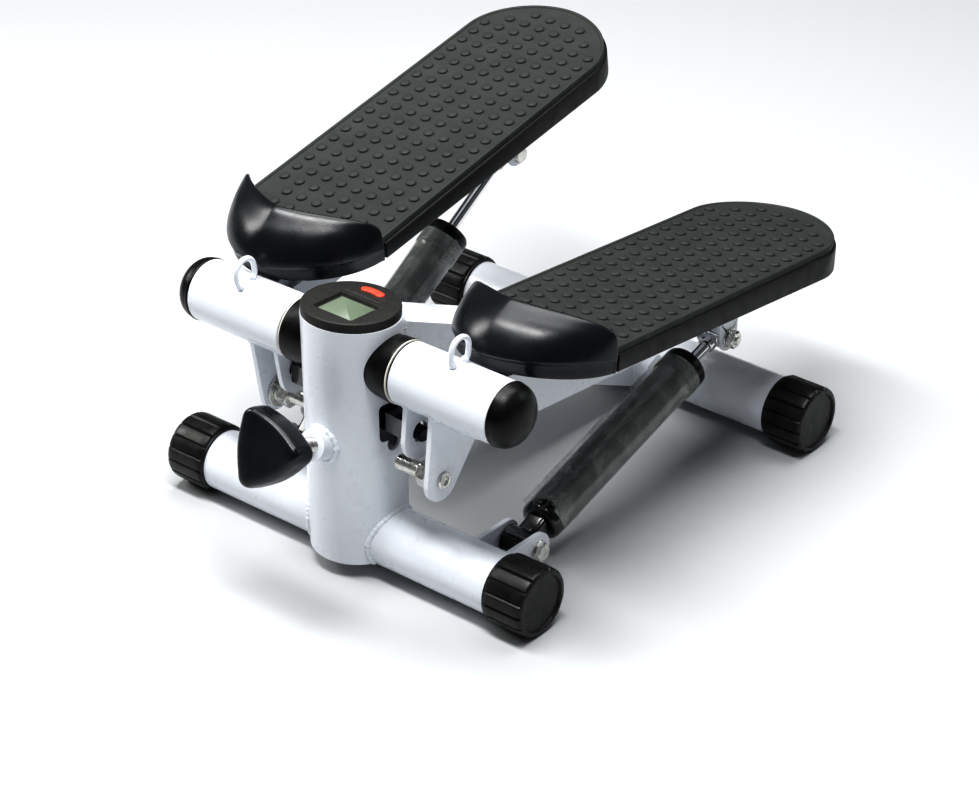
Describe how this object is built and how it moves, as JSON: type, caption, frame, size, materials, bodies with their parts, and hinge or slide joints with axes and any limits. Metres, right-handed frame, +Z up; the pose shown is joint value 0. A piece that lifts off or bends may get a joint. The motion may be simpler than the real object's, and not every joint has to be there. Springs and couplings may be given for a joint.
{
  "type": "mini stepper",
  "caption": "Low exercise stepper: round post on cross tubes, hinged pedals with toe guards and studded treads, rocker linkage and hydraulic cylinders, small round display.",
  "frame": {"origin": "on the floor under the middle of the stepper's bounding box", "axes": "+Y from the post towards the heel ends of the pedals, +Z up, +X towards the pedal that stands low"},
  "size_m": [0.383, 0.5312, 0.2728],
  "materials": {
    "white_powder_coat": "gloss",
    "black_plastic": "satin",
    "gloss_black_plastic": "gloss",
    "tread_rubber": "matte",
    "zinc_steel": "satin",
    "chrome_rod": "polished",
    "barrel_paint": "gloss",
    "housing_plastic": "matte",
    "display_glass": "gloss",
    "red_plastic": "satin",
    "white_plastic": "satin"
  },
  "bodies": {
    "frame": {"post": "white_powder_coat", "front_cross_tube": "white_powder_coat", "rear_cross_tube": "white_powder_coat", "centre_beam": "white_powder_coat", "cylinder_ears": "white_powder_coat", "cap_front_right": "black_plastic", "cap_front_left": "black_plastic", "cap_rear_right": "black_plastic", "cap_rear_left": "black_plastic", "knob_boss": "white_powder_coat", "pivot_axle": "zinc_steel", "axle_nuts": "zinc_steel", "saddle_domes": "black_plastic", "seal_rings": "white_plastic", "lower_bolts": "zinc_steel", "rocker_seat": "white_powder_coat", "rocker_pin": "zinc_steel", "display_housing": "housing_plastic", "display_window": "display_glass"},
    "reset_button": {"reset_button": "red_plastic"},
    "rocker": {"rocker_bar": "barrel_paint", "rocker_bushes": "black_plastic"},
    "knob": {"knob_head": "gloss_black_plastic", "knob_shank": "zinc_steel"},
    "right_pedal": {"right_pivot_tube": "white_powder_coat", "right_axle_bushes": "black_plastic", "right_tube_cap": "black_plastic", "right_band_eye": "white_powder_coat", "right_arm": "white_powder_coat", "right_bracket": "white_powder_coat", "right_bracket_bolt": "zinc_steel", "right_upper_ears": "white_powder_coat", "right_upper_bolt": "zinc_steel", "right_pedal_base": "black_plastic", "right_toe_guard": "gloss_black_plastic", "right_tread": "tread_rubber"},
    "right_barrel": {"right_barrel": "barrel_paint", "right_gland_cap": "black_plastic"},
    "right_rod": {"right_rod": "chrome_rod"},
    "left_pedal": {"left_pivot_tube": "white_powder_coat", "left_axle_bushes": "black_plastic", "left_tube_cap": "black_plastic", "left_band_eye": "white_powder_coat", "left_arm": "white_powder_coat", "left_bracket": "white_powder_coat", "left_bracket_bolt": "zinc_steel", "left_upper_ears": "white_powder_coat", "left_upper_bolt": "zinc_steel", "left_pedal_base": "black_plastic", "left_toe_guard": "gloss_black_plastic", "left_tread": "tread_rubber"},
    "left_barrel": {"left_barrel": "barrel_paint", "left_gland_cap": "black_plastic"},
    "left_rod": {"left_rod": "chrome_rod"}
  },
  "joints": [
    {"name": "right_pedal_hinge", "type": "hinge", "parent": "frame", "child": "right_pedal", "pos_m": [0, -0.1505, 0.178], "axis": [1, 0, 0], "range_deg": [-2, 18]},
    {"name": "left_pedal_hinge", "type": "hinge", "parent": "frame", "child": "left_pedal", "pos_m": [0, -0.1505, 0.178], "axis": [1, 0, 0], "range_deg": [-18, 2]},
    {"name": "rocker_hinge", "type": "hinge", "parent": "frame", "child": "rocker", "pos_m": [0, -0.1505, 0.136], "axis": [0, 0, 1], "range_deg": [-1.5, 11.6]},
    {"name": "right_barrel_hinge", "type": "hinge", "parent": "frame", "child": "right_barrel", "pos_m": [0.1115, -0.0945, 0.0243], "axis": [1, 0, 0], "range_deg": [-2, 17.6]},
    {"name": "right_rod_slide", "type": "slide", "parent": "right_barrel", "child": "right_rod", "axis": [0, 0.9641, 0.2654], "range_m": [-0.0058, 0.0512]},
    {"name": "left_barrel_hinge", "type": "hinge", "parent": "frame", "child": "left_barrel", "pos_m": [-0.1115, -0.0945, 0.0243], "axis": [1, 0, 0], "range_deg": [-17.4, 2]},
    {"name": "left_rod_slide", "type": "slide", "parent": "left_barrel", "child": "left_rod", "axis": [0, 0.8574, 0.5146], "range_m": [-0.0512, 0.0058]},
    {"name": "knob_turn", "type": "hinge", "parent": "frame", "child": "knob", "pos_m": [0, -0.1885, 0.115], "axis": [0, -0.9245, 0.3811], "continuous": true},
    {"name": "reset_button_press", "type": "slide", "parent": "frame", "child": "reset_button", "axis": [0, -0.0924, -0.9957], "range_m": [0, 0.0012], "stiffness_N_per_m": 800, "springref_m": -0.0005}
  ],
  "couplings": [
    {"joint": "left_pedal_hinge", "follows": "right_pedal_hinge", "ratio": -1},
    {"joint": "rocker_hinge", "follows": "right_pedal_hinge", "ratio": 0.6364},
    {"joint": "right_barrel_hinge", "follows": "right_pedal_hinge", "ratio": 0.9732},
    {"joint": "right_rod_slide", "follows": "right_pedal_hinge", "m_per_rad": 0.1628},
    {"joint": "left_barrel_hinge", "follows": "right_pedal_hinge", "ratio": -0.9619},
    {"joint": "left_rod_slide", "follows": "right_pedal_hinge", "m_per_rad": -0.16262}
  ]
}
